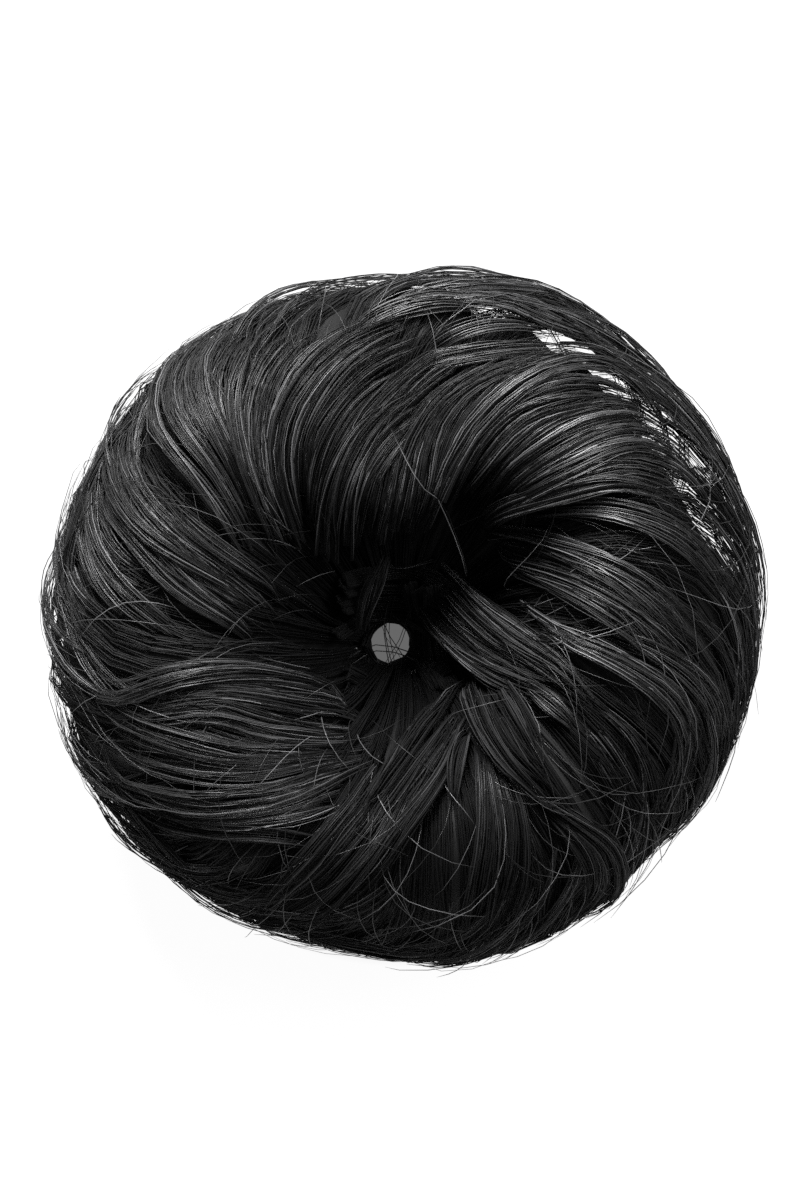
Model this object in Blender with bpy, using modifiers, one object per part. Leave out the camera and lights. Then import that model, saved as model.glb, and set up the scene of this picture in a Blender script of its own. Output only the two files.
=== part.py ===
# A top knot hairpiece: a ring of false hair on a covered elastic, lying face up.
# The hair leaves the elastic in the hole, climbs over the crown in a clockwise
# swirl of locks, turns down over the rim and ends underneath.
# Metres, +Z up, origin on the resting plane below the middle of the hairpiece.

import math
from collections import namedtuple

import bmesh
import bpy
from mathutils import Vector

# The ring of wound hair under the locks, by its section away from the middle
BASE_INNER_RADIUS = 0.0210
BASE_OUTER_RADIUS = 0.0630
BASE_HEIGHT = 0.0450
BASE_WIDEST_HEIGHT = 0.0210

# The crown leans outwards where the mouth of the hole is pulled open
LEAN_MEAN = 0.0060
LEAN_TO_ONE_SIDE = 0.0020
LEAN_TO_BOTH_SIDES = 0.0050
MOUTH_AZIMUTH = 70
LEAN_FROM_ANGLE = 10
LEAN_TO_ANGLE = 225

# The locks over the ring
RIM_RADIUS = 0.0750
LOCK_DEPTH = 0.0095
LOCK_EDGE_DEPTH = 0.0026
LOCK_END_DEPTH = 0.0018
LOCK_ROUNDNESS = 2.2
LOCK_GAP = 0.0006
SEAT_GAP = 0.0005

# The throat that the locks' feet leave open in the middle, and the wall above them
WALL_DEPTH = 0.0062
FOOT_EDGE_SHARE = 0.85
THROAT_RADIUS = 0.0046
THROAT_SHIFT = 0.0020
THROAT_AZIMUTH = 190

# The elastic band, in a groove cut into the ring from below
BAND_RING_RADIUS = 0.0300
BAND_THICKNESS = 0.0045
BAND_HEIGHT = 0.0050
BAND_CLEARANCE = 0.0003

# Steps of the section and round the ring, in degrees
SECTION_STEP = 18
AZIMUTH_STEP = 6
BAND_STEPS = 48
BAND_SIDES = 10
ACROSS_LOCK = (0.0, 0.2, 0.4, 0.6, 0.8, 1.0)
ACROSS_SEAT = (1.0, 0.5, 0.0)

# Section angles: 0 at the rim, 90 on the crown, 180 on the wall of the hole
ROOT_ANGLE = 216
FOOT_ANGLE = 198
WALL_ANGLE = 176
SHOULDER_ANGLE = 142
CROWN_ANGLE = 96
BROW_ANGLE = 48
RIM_ANGLE = 6
TAIL_ANGLE = -36
TAIL_SWEEP = 8

# One row for each lock, clockwise from the upper left. root, crown and rim are the
# azimuths of its middle line in degrees; depth is a share of LOCK_DEPTH and reach
# one of RIM_RADIUS.
Lock = namedtuple("Lock", "root crown rim depth reach")
LOCKS = (
    Lock(154, 140, 128, 0.95, 0.985),
    Lock(144, 131, 111, 0.85, 0.966),
    Lock(134, 118, 92, 1.05, 0.950),
    Lock(122, 104, 74, 0.95, 0.980),
    Lock(108, 90, 59, 1.05, 1.000),
    Lock(92, 75, 45, 0.95, 0.980),
    Lock(76, 61, 32, 0.85, 1.000),
    Lock(60, 47, 19, 0.95, 0.988),
    Lock(46, 32, 5, 1.05, 0.994),
    Lock(31, 16, -9, 1.05, 0.980),
    Lock(15, 0, -21, 0.95, 0.972),
    Lock(-3, -18, -31, 1.05, 0.966),
    Lock(-20, -34, -42, 0.65, 0.942),
    Lock(-37, -50, -54, 0.95, 0.960),
    Lock(-51, -63, -67, 0.85, 0.974),
    Lock(-64, -76, -81, 0.85, 0.966),
    Lock(-78, -90, -98, 0.95, 0.928),
    Lock(-92, -104, -116, 0.85, 0.946),
    Lock(-106, -118, -135, 0.95, 0.960),
    Lock(-120, -132, -154, 1.05, 0.980),
    Lock(-135, -147, -172, 0.95, 0.990),
    Lock(-151, -163, -189, 1.00, 0.984),
    Lock(-167, -180, -204, 0.85, 0.978),
    Lock(-181, -195, -216, 0.95, 0.980),
    Lock(-194, -208, -225, 0.75, 0.984),
)

# Colours as linear red, green, blue
HAIR_COLOUR = (0.012, 0.012, 0.013, 1.0)
BAND_COLOUR = (0.02, 0.02, 0.022, 1.0)


def along_keys(angle, keys):
    """The value at a section angle, on a smooth curve through (angle, value) keys."""
    last = len(keys) - 1
    i = next((k for k in range(last) if angle >= keys[k + 1][0]), last - 1)
    slopes = []
    for k in (i, i + 1):
        before, after = keys[max(k - 1, 0)], keys[min(k + 1, last)]
        slopes.append((after[1] - before[1]) / (after[0] - before[0]))
    (start, low), (end, high) = keys[i], keys[i + 1]
    span = end - start
    t = (angle - start) / span
    return (
        low * (2 * t**3 - 3 * t**2 + 1)
        + slopes[0] * span * (t**3 - 2 * t**2 + t)
        + high * (3 * t**2 - 2 * t**3)
        + slopes[1] * span * (t**3 - t**2)
    )


def lean_at(azimuth):
    """How far the crown stands outwards at an azimuth, where the mouth is pulled open."""
    turn = math.radians(azimuth - MOUTH_AZIMUTH)
    both_sides = LEAN_TO_BOTH_SIDES * math.cos(2 * turn)
    return LEAN_MEAN + LEAN_TO_ONE_SIDE * math.cos(turn) + both_sides


def base_section(angle, azimuth):
    """(radius, height) of the base ring's surface, before its underside is flattened."""
    middle = (BASE_INNER_RADIUS + BASE_OUTER_RADIUS) / 2
    half_width = (BASE_OUTER_RADIUS - BASE_INNER_RADIUS) / 2
    a = math.radians(angle)
    share = (angle - LEAN_FROM_ANGLE) / (LEAN_TO_ANGLE - LEAN_FROM_ANGLE)
    lean = lean_at(azimuth) * math.sin(math.pi * min(max(share, 0.0), 1.0)) ** 2
    radius = middle + half_width * math.cos(a) + lean
    height = BASE_WIDEST_HEIGHT + (BASE_HEIGHT - BASE_WIDEST_HEIGHT) * math.sin(a)
    return radius, height


def base_surface(angle, azimuth, lift):
    """(radius, height) of a point lifted off the base ring, square to its surface."""
    half_step = SECTION_STEP / 2
    radius, height = base_section(angle, azimuth)
    r_before, z_before = base_section(angle - half_step, azimuth)
    r_after, z_after = base_section(angle + half_step, azimuth)
    along = Vector((r_after - r_before, z_after - z_before)).normalized()
    return radius + along.y * lift, height - along.x * lift


def at_azimuth(radius, azimuth, height):
    a = math.radians(azimuth)
    return Vector((radius * math.cos(a), radius * math.sin(a), height))


def throat_at(azimuth):
    """Radius of the open throat from the ring's own middle."""
    turn = math.radians(azimuth - THROAT_AZIMUTH)
    return THROAT_RADIUS + THROAT_SHIFT * math.cos(turn)


def path_azimuth(lock, angle):
    """Azimuth of a lock's middle line at a section angle."""
    keys = (
        (ROOT_ANGLE, lock.root),
        (CROWN_ANGLE, lock.crown),
        (RIM_ANGLE, lock.rim),
        (TAIL_ANGLE, lock.rim - TAIL_SWEEP),
    )
    return along_keys(angle, keys)


def foot_depth(lock):
    """How far a lock's foot reaches in from the ring to the throat."""
    return BASE_INNER_RADIUS - SEAT_GAP - throat_at(path_azimuth(lock, FOOT_ANGLE))


def edge_depth(lock, angle):
    """Height of a lock's two edges above its seat, fuller at the foot."""
    keys = (
        (ROOT_ANGLE, LOCK_END_DEPTH),
        (FOOT_ANGLE, FOOT_EDGE_SHARE * foot_depth(lock)),
        (WALL_ANGLE, LOCK_EDGE_DEPTH),
        (SHOULDER_ANGLE, LOCK_EDGE_DEPTH),
        (TAIL_ANGLE, LOCK_EDGE_DEPTH),
    )
    return max(min(along_keys(angle, keys), lock_depth(lock, angle)), LOCK_END_DEPTH)


def lock_depth(lock, angle):
    """Height of a lock's middle above its seat at a section angle."""
    depth = LOCK_DEPTH * lock.depth
    rim = RIM_RADIUS * lock.reach - BASE_OUTER_RADIUS - SEAT_GAP
    keys = (
        (ROOT_ANGLE, LOCK_END_DEPTH),
        (FOOT_ANGLE, foot_depth(lock)),
        (WALL_ANGLE, WALL_DEPTH),
        (SHOULDER_ANGLE, 0.5 * depth),
        (CROWN_ANGLE, depth),
        (BROW_ANGLE, 0.5 * (depth + rim)),
        (RIM_ANGLE, rim),
        (TAIL_ANGLE, LOCK_END_DEPTH),
    )
    return max(along_keys(angle, keys), LOCK_END_DEPTH)


def partings(index, angle):
    """Azimuths of the partings on both sides of a lock, shared with its neighbours."""
    turn = 360
    count = len(LOCKS)
    own = path_azimuth(LOCKS[index], angle)
    before = path_azimuth(LOCKS[index - 1], angle) + (turn if index == 0 else 0)
    after = path_azimuth(LOCKS[(index + 1) % count], angle)
    after -= turn if index == count - 1 else 0
    return (before + own) / 2, (own + after) / 2


def lock_point(index, angle, across, lift):
    """A point of a lock, from 0 to 1 across it and lifted off the base ring."""
    first, last = partings(index, angle)
    radius, height = base_surface(angle, first + (last - first) * across, lift)
    clear = math.degrees(LOCK_GAP / 2 / radius)
    azimuth = first - clear + (last - first + 2 * clear) * across
    return at_azimuth(radius, azimuth, height)


def lock_section(index, angle):
    """One cross-section of a lock: its rounded back, then its seat on the base ring."""
    depth = lock_depth(LOCKS[index], angle)
    edge = edge_depth(LOCKS[index], angle)
    points = []
    for across in ACROSS_LOCK:
        crown = 1 - abs(2 * across - 1) ** LOCK_ROUNDNESS
        lift = SEAT_GAP + edge + (depth - edge) * crown
        points.append(lock_point(index, angle, across, lift))
    for across in ACROSS_SEAT:
        points.append(lock_point(index, angle, across, SEAT_GAP))
    return points


def lofted(name, sections, joined_ends, collection):
    """An object lofted through like sections, round to the first or capped at both ends.

    The two halves of a section split their faces mirrored, so that the facing sides of
    neighbours bend alike.
    """
    bm = bmesh.new()
    rings = [[bm.verts.new(point) for point in section] for section in sections]
    size = len(rings[0])
    following = rings[1:] + rings[:1] if joined_ends else rings[1:]
    for ring, after in zip(rings, following):
        for k in range(size):
            n = (k + 1) % size
            if k <= size // 2 + 1:
                bm.faces.new((ring[k], ring[n], after[k]))
                bm.faces.new((ring[n], after[n], after[k]))
            else:
                bm.faces.new((ring[k], ring[n], after[n]))
                bm.faces.new((ring[k], after[n], after[k]))
    if not joined_ends:
        bm.faces.new(rings[0])
        bm.faces.new(rings[-1])
    bmesh.ops.recalc_face_normals(bm, faces=bm.faces)
    mesh = bpy.data.meshes.new(name)
    bm.to_mesh(mesh)
    bm.free()
    return linked(bpy.data.objects.new(name, mesh), collection)


def linked(obj, collection):
    for owner in obj.users_collection:
        owner.objects.unlink(obj)
    collection.objects.link(obj)
    return obj


def hair_material():
    return plain_material("black_hair", HAIR_COLOUR, roughness=0.38)


def band_material():
    return plain_material("covered_elastic", BAND_COLOUR, roughness=0.75)


def plain_material(name, colour, roughness):
    material = bpy.data.materials.new(name)
    material.use_nodes = True
    shader = material.node_tree.nodes["Principled BSDF"]
    shader.inputs["Base Color"].default_value = colour
    shader.inputs["Roughness"].default_value = roughness
    shader.inputs["Metallic"].default_value = 0.0
    return material


def finish_round(obj, material):
    obj.data.materials.append(material)
    obj.data.shade_smooth()
    obj.data.set_sharp_from_angle(angle=math.radians(70))


def band_groove(cutters):
    """Cutter for the band's groove: a square-cornered profile turned round the axis."""
    half = BAND_THICKNESS / 2 + BAND_CLEARANCE
    below = -BAND_THICKNESS
    corners = (
        (BAND_RING_RADIUS + half, BAND_HEIGHT + half),
        (BAND_RING_RADIUS + half, below),
        (BAND_RING_RADIUS - half, below),
        (BAND_RING_RADIUS - half, BAND_HEIGHT + half),
    )
    mesh = bpy.data.meshes.new("band_groove")
    edges = [(k, (k + 1) % len(corners)) for k in range(len(corners))]
    mesh.from_pydata([(radius, 0, height) for radius, height in corners], edges, [])
    groove = linked(bpy.data.objects.new("band_groove", mesh), cutters)
    screw = groove.modifiers.new("turn", "SCREW")
    screw.steps = screw.render_steps = BAND_STEPS
    screw.use_merge_vertices = True
    screw.merge_threshold = 0.00001
    groove.hide_render = True
    groove.display_type = "WIRE"
    return groove


def hair_base(collection, cutters, material):
    """The ring of wound hair, flat where it rests, with the band's groove below."""
    sections = []
    for azimuth in range(0, 360, AZIMUTH_STEP):
        section = []
        for angle in range(TAIL_ANGLE, 360 + TAIL_ANGLE, SECTION_STEP):
            radius, height = base_section(angle, azimuth)
            section.append(at_azimuth(radius, azimuth, max(height, 0.0)))
        sections.append(section)
    base = lofted("hair_base", sections, True, collection)
    cut = base.modifiers.new("band_groove", "BOOLEAN")
    cut.operation = "DIFFERENCE"
    cut.object = band_groove(cutters)
    finish_round(base, material)
    return base


def elastic_band(collection, material):
    bpy.ops.mesh.primitive_torus_add(
        major_radius=BAND_RING_RADIUS,
        minor_radius=BAND_THICKNESS / 2,
        major_segments=BAND_STEPS,
        minor_segments=BAND_SIDES,
        location=(0, 0, BAND_HEIGHT),
    )
    band = linked(bpy.context.object, collection)
    band.name = "elastic_band"
    finish_round(band, material)
    return band


def hair_locks(collection, material):
    """Each lock of the swirl, seated on the base ring between its two partings."""
    locks = []
    for index in range(len(LOCKS)):
        angles = range(ROOT_ANGLE, TAIL_ANGLE - 1, -SECTION_STEP)
        sections = [lock_section(index, angle) for angle in angles]
        lock = lofted(f"lock_{index + 1:02d}", sections, False, collection)
        finish_round(lock, material)
        locks.append(lock)
    return locks


def set_on_origin(pieces, collection):
    """Hangs the pieces on an empty that brings the middle of them all over the origin."""
    bpy.context.view_layer.update()
    corners = [o.matrix_world @ Vector(c) for o in pieces for c in o.bound_box]
    middle_x = (min(c.x for c in corners) + max(c.x for c in corners)) / 2
    middle_y = (min(c.y for c in corners) + max(c.y for c in corners)) / 2
    holder = bpy.data.objects.new("hairpiece", None)
    collection.objects.link(holder)
    for piece in pieces:
        piece.parent = holder
    holder.location = (-middle_x, -middle_y, 0)
    return holder


def build():
    for obj in list(bpy.data.objects):
        bpy.data.objects.remove(obj)
    scene = bpy.context.scene
    collection = bpy.data.collections.new("top_knot_hairpiece")
    cutters = bpy.data.collections.new("cutters")
    scene.collection.children.link(collection)
    scene.collection.children.link(cutters)
    hair = hair_material()
    base = hair_base(collection, cutters, hair)
    band = elastic_band(collection, band_material())
    locks = hair_locks(collection, hair)
    holder = set_on_origin([base, band, *locks], collection)
    for cutter in cutters.objects:
        cutter.parent = holder


build()
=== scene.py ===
# Looks of the top knot hairpiece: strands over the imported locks, loose hairs,
# materials, a pale floor, soft light and the photo's camera.

import math
import random
from collections import namedtuple
from functools import lru_cache

import bpy
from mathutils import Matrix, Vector


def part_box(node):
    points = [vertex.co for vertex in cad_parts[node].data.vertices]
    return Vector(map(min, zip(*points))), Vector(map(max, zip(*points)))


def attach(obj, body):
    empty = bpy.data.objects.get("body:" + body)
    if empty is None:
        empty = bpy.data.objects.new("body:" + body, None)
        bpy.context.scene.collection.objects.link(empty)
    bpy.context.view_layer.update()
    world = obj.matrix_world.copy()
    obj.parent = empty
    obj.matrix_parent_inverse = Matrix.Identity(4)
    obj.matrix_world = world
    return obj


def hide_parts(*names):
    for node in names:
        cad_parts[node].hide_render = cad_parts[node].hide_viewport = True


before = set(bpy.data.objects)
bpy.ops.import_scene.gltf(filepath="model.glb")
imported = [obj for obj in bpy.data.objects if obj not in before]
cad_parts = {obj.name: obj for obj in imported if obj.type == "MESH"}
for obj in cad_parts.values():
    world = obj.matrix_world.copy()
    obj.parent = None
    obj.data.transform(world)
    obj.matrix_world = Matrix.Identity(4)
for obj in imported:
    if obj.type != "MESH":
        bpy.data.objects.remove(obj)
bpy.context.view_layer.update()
print("frame loaded,", len(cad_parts), "nodes")


# A socket that can be used in sums, and the graph it belongs to

def sumOf(operation, swapped=False):
    def made(one, other):
        values = (other, one) if swapped else (one, other)
        return one.graph.maths(operation, *values)
    return made


class Wire:
    def __init__(self, graph, socket):
        self.graph = graph
        self.socket = socket

    __add__, __radd__ = sumOf("ADD"), sumOf("ADD", swapped=True)
    __sub__, __rsub__ = sumOf("SUBTRACT"), sumOf("SUBTRACT", swapped=True)
    __truediv__, __rtruediv__ = sumOf("DIVIDE"), sumOf("DIVIDE", swapped=True)
    __mul__ = sumOf("MULTIPLY")
    __pow__ = sumOf("POWER")


class Graph:
    def __init__(self, tree):
        self.tree = tree
        tree.nodes.clear()

    def node(self, kind, settings=None, inputs=None, out=0):
        made = self.tree.nodes.new(kind)
        for name, value in (settings or {}).items():
            setattr(made, name, value)
        for key, value in (inputs or {}).items():
            if isinstance(value, Wire):
                self.tree.links.new(value.socket, made.inputs[key])
            else:
                made.inputs[key].default_value = value
        return Wire(self, made.outputs[out]) if made.outputs else made

    def maths(self, operation, *values):
        return self.node("ShaderNodeMath", {"operation": operation}, dict(enumerate(values)))

    def vector(self, operation, *values):
        kind = "ShaderNodeVectorMath"
        return self.node(kind, {"operation": operation}, dict(enumerate(values)))

    def scaled(self, vector, factor):
        kind = "ShaderNodeVectorMath"
        return self.node(kind, {"operation": "SCALE"}, {0: vector, "Scale": factor})

    def mixed(self, factor, low, high):
        settings = {"data_type": "RGBA"}
        return self.node("ShaderNodeMix", settings, {"Factor": factor, 6: low, 7: high}, out=2)

    def stored(self, name):
        return self.node("ShaderNodeAttribute", {"attribute_name": name}, out="Fac")

    def noise(self, vector, scale, detail):
        inputs = {"Vector": vector, "Scale": scale, "Detail": detail}
        return self.node("ShaderNodeTexNoise", None, inputs)

    def combined(self, *values):
        return self.node("ShaderNodeCombineXYZ", None, dict(enumerate(values)))

    def split(self, vector):
        apart = self.tree.nodes.new("ShaderNodeSeparateXYZ")
        self.tree.links.new(vector.socket, apart.inputs[0])
        return [Wire(self, output) for output in apart.outputs]

    def surface(self, inputs):
        shader = self.node("ShaderNodeBsdfPrincipled", None, inputs)
        self.node("ShaderNodeOutputMaterial", None, {"Surface": shader})

    def relief(self, finish, height):
        # a bumpy surface with painted shade in its dips, where it is darker
        shade = self.mixed(height, finish["deepBlack"], finish["softBlack"])
        inputs = {"Strength": finish["bump"], "Distance": finish["bumpHeight"], "Height": height}
        bump = self.node("ShaderNodeBump", None, inputs)
        self.surface({"Base Color": shade, "Roughness": finish["roughness"], "Normal": bump})


def newMaterial(name):
    material = bpy.data.materials.new(name)
    material.use_nodes = True
    return material, Graph(material.node_tree)


# The photo's camera comes first, because some wisps are placed by where they show

cameraLooks = {
    "elevation": 80,
    "distance": 0.95,
    "frameWidth": 0.1677,
    "aim": (-0.00105, 0.0051, 0.021),
}


def photoLook(px, py):
    # the eye point and the direction in which a pixel of the 800 by 1200 photo looks
    tilt = math.radians(cameraLooks["elevation"])
    forward = Vector((0, math.cos(tilt), -math.sin(tilt)))
    up = Vector((0, math.sin(tilt), math.cos(tilt)))
    eye = Vector(cameraLooks["aim"]) - forward * cameraLooks["distance"]
    size = cameraLooks["frameWidth"] / cameraLooks["distance"] / 800
    return eye, forward + Vector((1, 0, 0)) * (px - 400) * size + up * (600 - py) * size


def camera():
    lens = bpy.data.cameras.new("camera")
    lens.sensor_fit = "HORIZONTAL"
    lens.sensor_width = 36
    lens.lens = 36 * cameraLooks["distance"] / cameraLooks["frameWidth"]
    lens.clip_end = 20
    eye = bpy.data.objects.new("camera", lens)
    eye.location, look = photoLook(400, 600)
    eye.rotation_euler = look.to_track_quat("-Z", "Y").to_euler()
    bpy.context.scene.collection.objects.link(eye)
    bpy.context.scene.camera = eye


camera()


# The form of the ring and its locks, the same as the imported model's

ring = {
    "innerRadius": 0.0210,
    "outerRadius": 0.0630,
    "height": 0.0450,
    "widestHeight": 0.0210,
    "rimRadius": 0.0750,
    "leanMean": 0.0060,
    "leanToOneSide": 0.0020,
    "leanToBothSides": 0.0050,
    "mouthAzimuth": 70,
    "leanFromAngle": 10,
    "leanToAngle": 225,
    "throatRadius": 0.0046,
    "throatShift": 0.0020,
    "throatAzimuth": 190,
}

lockForm = {
    "depth": 0.0095,
    "wallDepth": 0.0062,
    "endDepth": 0.0018,
    "roundness": 2.2,
    "seatGap": 0.0005,
    "rootAngle": 216,
    "footAngle": 198,
    "wallAngle": 176,
    "shoulderAngle": 142,
    "crownAngle": 96,
    "browAngle": 48,
    "rimAngle": 6,
    "tailAngle": -36,
    "tailSweep": 8,
    "valleys": ((216, 0.1), (198, 0.15), (150, 0.5), (96, 0.42), (30, 0.2), (-36, 0.05)),
}

# rimCover is the share of a lock's wisps that reach the rim
Lock = namedtuple("Lock", "root crown rim depth reach rimCover")
locks = (
    Lock(154, 140, 128, 0.95, 0.985, 1.0),
    Lock(144, 131, 111, 0.85, 0.966, 1.0),
    Lock(134, 118, 92, 1.05, 0.950, 0.9),
    Lock(122, 104, 74, 0.95, 0.980, 0.4),
    Lock(108, 90, 59, 1.05, 1.000, 0.3),
    Lock(92, 75, 45, 0.95, 0.980, 0.3),
    Lock(76, 61, 32, 0.85, 1.000, 0.3),
    Lock(60, 47, 19, 0.95, 0.988, 0.25),
    Lock(46, 32, 5, 1.05, 0.994, 0.55),
    Lock(31, 16, -9, 1.05, 0.980, 1.0),
    Lock(15, 0, -21, 0.95, 0.972, 1.0),
    Lock(-3, -18, -31, 1.05, 0.966, 1.0),
    Lock(-20, -34, -42, 0.65, 0.942, 1.0),
    Lock(-37, -50, -54, 0.95, 0.960, 1.0),
    Lock(-51, -63, -67, 0.85, 0.974, 1.0),
    Lock(-64, -76, -81, 0.85, 0.966, 1.0),
    Lock(-78, -90, -98, 0.95, 0.928, 1.0),
    Lock(-92, -104, -116, 0.85, 0.946, 1.0),
    Lock(-106, -118, -135, 0.95, 0.960, 1.0),
    Lock(-120, -132, -154, 1.05, 0.980, 1.0),
    Lock(-135, -147, -172, 0.95, 0.990, 1.0),
    Lock(-151, -163, -189, 1.00, 0.984, 1.0),
    Lock(-167, -180, -204, 0.85, 0.978, 1.0),
    Lock(-181, -195, -216, 0.95, 0.980, 1.0),
    Lock(-194, -208, -225, 0.75, 0.984, 1.0),
)

bandLow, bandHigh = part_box("elastic_band")
ringMiddle = Vector(((bandLow.x + bandHigh.x) / 2, (bandLow.y + bandHigh.y) / 2, 0))


def alongKeys(at, keys):
    last = len(keys) - 1
    i = next((k for k in range(last) if (at - keys[k + 1][0]) * (keys[0][0] - keys[1][0]) >= 0),
             last - 1)
    slopes = []
    for k in (i, i + 1):
        before, after = keys[max(k - 1, 0)], keys[min(k + 1, last)]
        slopes.append((after[1] - before[1]) / (after[0] - before[0]))
    (start, low), (end, high) = keys[i], keys[i + 1]
    span = end - start
    t = (at - start) / span
    return (
        low * (2 * t**3 - 3 * t**2 + 1)
        + slopes[0] * span * (t**3 - 2 * t**2 + t)
        + high * (3 * t**2 - 2 * t**3)
        + slopes[1] * span * (t**3 - t**2)
    )


def ringSection(angle, azimuth):
    middle = (ring["innerRadius"] + ring["outerRadius"]) / 2
    halfWidth = (ring["outerRadius"] - ring["innerRadius"]) / 2
    turn = math.radians(azimuth - ring["mouthAzimuth"])
    lean = ring["leanMean"] + ring["leanToOneSide"] * math.cos(turn)
    lean += ring["leanToBothSides"] * math.cos(2 * turn)
    share = (angle - ring["leanFromAngle"]) / (ring["leanToAngle"] - ring["leanFromAngle"])
    lean *= math.sin(math.pi * min(max(share, 0.0), 1.0)) ** 2
    a = math.radians(angle)
    rise = ring["height"] - ring["widestHeight"]
    return middle + halfWidth * math.cos(a) + lean, ring["widestHeight"] + rise * math.sin(a)


def overRing(angle, azimuth, lift):
    # the point that stands this far off the ring, square to its surface and above the floor
    radius, height = ringSection(angle, azimuth)
    before = ringSection(angle - 9, azimuth)
    after = ringSection(angle + 9, azimuth)
    along = Vector((after[0] - before[0], after[1] - before[1])).normalized()
    radius += along.y * lift
    a = math.radians(azimuth)
    return ringMiddle + Vector(
        (radius * math.cos(a), radius * math.sin(a), max(height - along.x * lift, 0.0004))
    )


def pathAzimuth(lock, angle):
    keys = (
        (lockForm["rootAngle"], lock.root),
        (lockForm["crownAngle"], lock.crown),
        (lockForm["rimAngle"], lock.rim),
        (lockForm["tailAngle"], lock.rim - lockForm["tailSweep"]),
    )
    return alongKeys(angle, keys)


def lockDepth(lock, angle):
    depth = lockForm["depth"] * lock.depth
    turn = math.radians(pathAzimuth(lock, lockForm["footAngle"]) - ring["throatAzimuth"])
    throat = ring["throatRadius"] + ring["throatShift"] * math.cos(turn)
    foot = ring["innerRadius"] - lockForm["seatGap"] - throat
    rim = ring["rimRadius"] * lock.reach - ring["outerRadius"] - lockForm["seatGap"]
    keys = (
        (lockForm["rootAngle"], lockForm["endDepth"]),
        (lockForm["footAngle"], foot),
        (lockForm["wallAngle"], lockForm["wallDepth"]),
        (lockForm["shoulderAngle"], 0.5 * depth),
        (lockForm["crownAngle"], depth),
        (lockForm["browAngle"], 0.5 * (depth + rim)),
        (lockForm["rimAngle"], rim),
        (lockForm["tailAngle"], lockForm["endDepth"]),
    )
    return max(alongKeys(angle, keys), lockForm["endDepth"])


def partings(index, angle):
    count = len(locks)
    own = pathAzimuth(locks[index], angle)
    before = pathAzimuth(locks[index - 1], angle) + (360 if index == 0 else 0)
    after = pathAzimuth(locks[(index + 1) % count], angle)
    after -= 360 if index == count - 1 else 0
    return (before + own) / 2, (own + after) / 2


@lru_cache(maxsize=None)
def lockMiddles(angle):
    middles = [pathAzimuth(lock, angle) for lock in locks]
    return [middles[-1] + 360, *middles, middles[0] - 360]


@lru_cache(maxsize=None)
def lockDepths(angle):
    return [lockDepth(lock, angle) for lock in locks]


def lockAt(angle, azimuth):
    # the lock that covers a spot, and how far across it the spot lies
    middles = lockMiddles(angle)
    for index in range(len(locks)):
        before, own, after = middles[index : index + 3]
        first, last = (before + own) / 2, (own + after) / 2
        share = ((first - azimuth) % 360) / (first - last)
        if share <= 1:
            return index, share
    return 0, 0.0


def coverLift(angle, azimuth, smooth=False):
    # how far the top of the hair lies off the ring; smooth leaves out the partings
    angle = round(angle * 4) / 4
    index, share = lockAt(angle, azimuth)
    near = index - 1 if share < 0.5 else (index + 1) % len(locks)
    blend = abs(share - 0.5)
    depths = lockDepths(angle)
    depth = (1 - blend) * depths[index] + blend * depths[near]
    if smooth:
        return lockForm["seatGap"] + depth
    valley = alongKeys(angle, lockForm["valleys"]) * abs(2 * share - 1) ** lockForm["roundness"]
    return lockForm["seatGap"] + depth * (1 - valley)


def flowStep(azimuth, fromAngle, toAngle):
    # where the swirl takes a hair that starts at this azimuth
    lock = locks[lockAt(fromAngle, azimuth)[0]]
    return azimuth + pathAzimuth(lock, toAngle) - pathAzimuth(lock, fromAngle)


# Guides: the middle lines of the wisps. Each point says which way is across and
# which is out, how wide and deep the wisp is there, and how loose its strands are

Guide = namedtuple("Guide", "points across out halfWidth halfDepth loose")


def guideThrough(spots, halfWidths, halfDepths, looseness):
    # spots are (angle, azimuth, lift)
    points = [overRing(*spot) for spot in spots]
    raised = [overRing(angle, azimuth, lift + 0.001) for angle, azimuth, lift in spots]
    outs = [(high - low).normalized() for high, low in zip(raised, points)]
    acrosses = []
    last = len(points) - 1
    for k, out in enumerate(outs):
        along = points[min(k + 1, last)] - points[max(k - 1, 0)]
        acrosses.append(along.cross(out).normalized())
    return Guide(points, acrosses, outs, halfWidths, halfDepths, looseness)


def partWay(values, at):
    k = min(int(at), len(values) - 2)
    return values[k] + (values[k + 1] - values[k]) * (at - k)


def splitGuide(guide, parts, rng, ragged=0.0, rootDepth=0.0):
    # a wide wisp as several narrower ones that drift over each other. They start and
    # stop up to the share called ragged from its ends, and come up from rootDepth
    made = []
    last = len(guide.points) - 1
    for part in range(parts):
        home = (2 * part + 1) / parts - 1 + rng.uniform(-0.2, 0.2)
        drift, phase = rng.uniform(0.0, 0.35), rng.uniform(0, 2 * math.pi)
        rise = rng.uniform(-0.0006, 0.0006)
        size = rng.uniform(0.7, 1.4) / parts**0.75
        begin, end = rng.uniform(0, 1.3 * ragged), 1 - rng.uniform(0, ragged)
        places = [begin * last + (end - begin) * k for k in range(last + 1)]
        piece = Guide(*([partWay(field, at) for at in places] for field in guide))
        for k, wide in enumerate(piece.halfWidth):
            side = (0.75 * home + drift * math.sin(3 * k / last + phase)) * wide
            up = rise - rootDepth * max(1 - 5 * k / last, 0) ** 1.3
            piece.points[k] = piece.points[k] + piece.across[k] * side + piece.out[k] * up
            piece.halfWidth[k] = wide * size
        made.append(piece)
    return made


lowestHair = 0.0003  # above the floor


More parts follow.
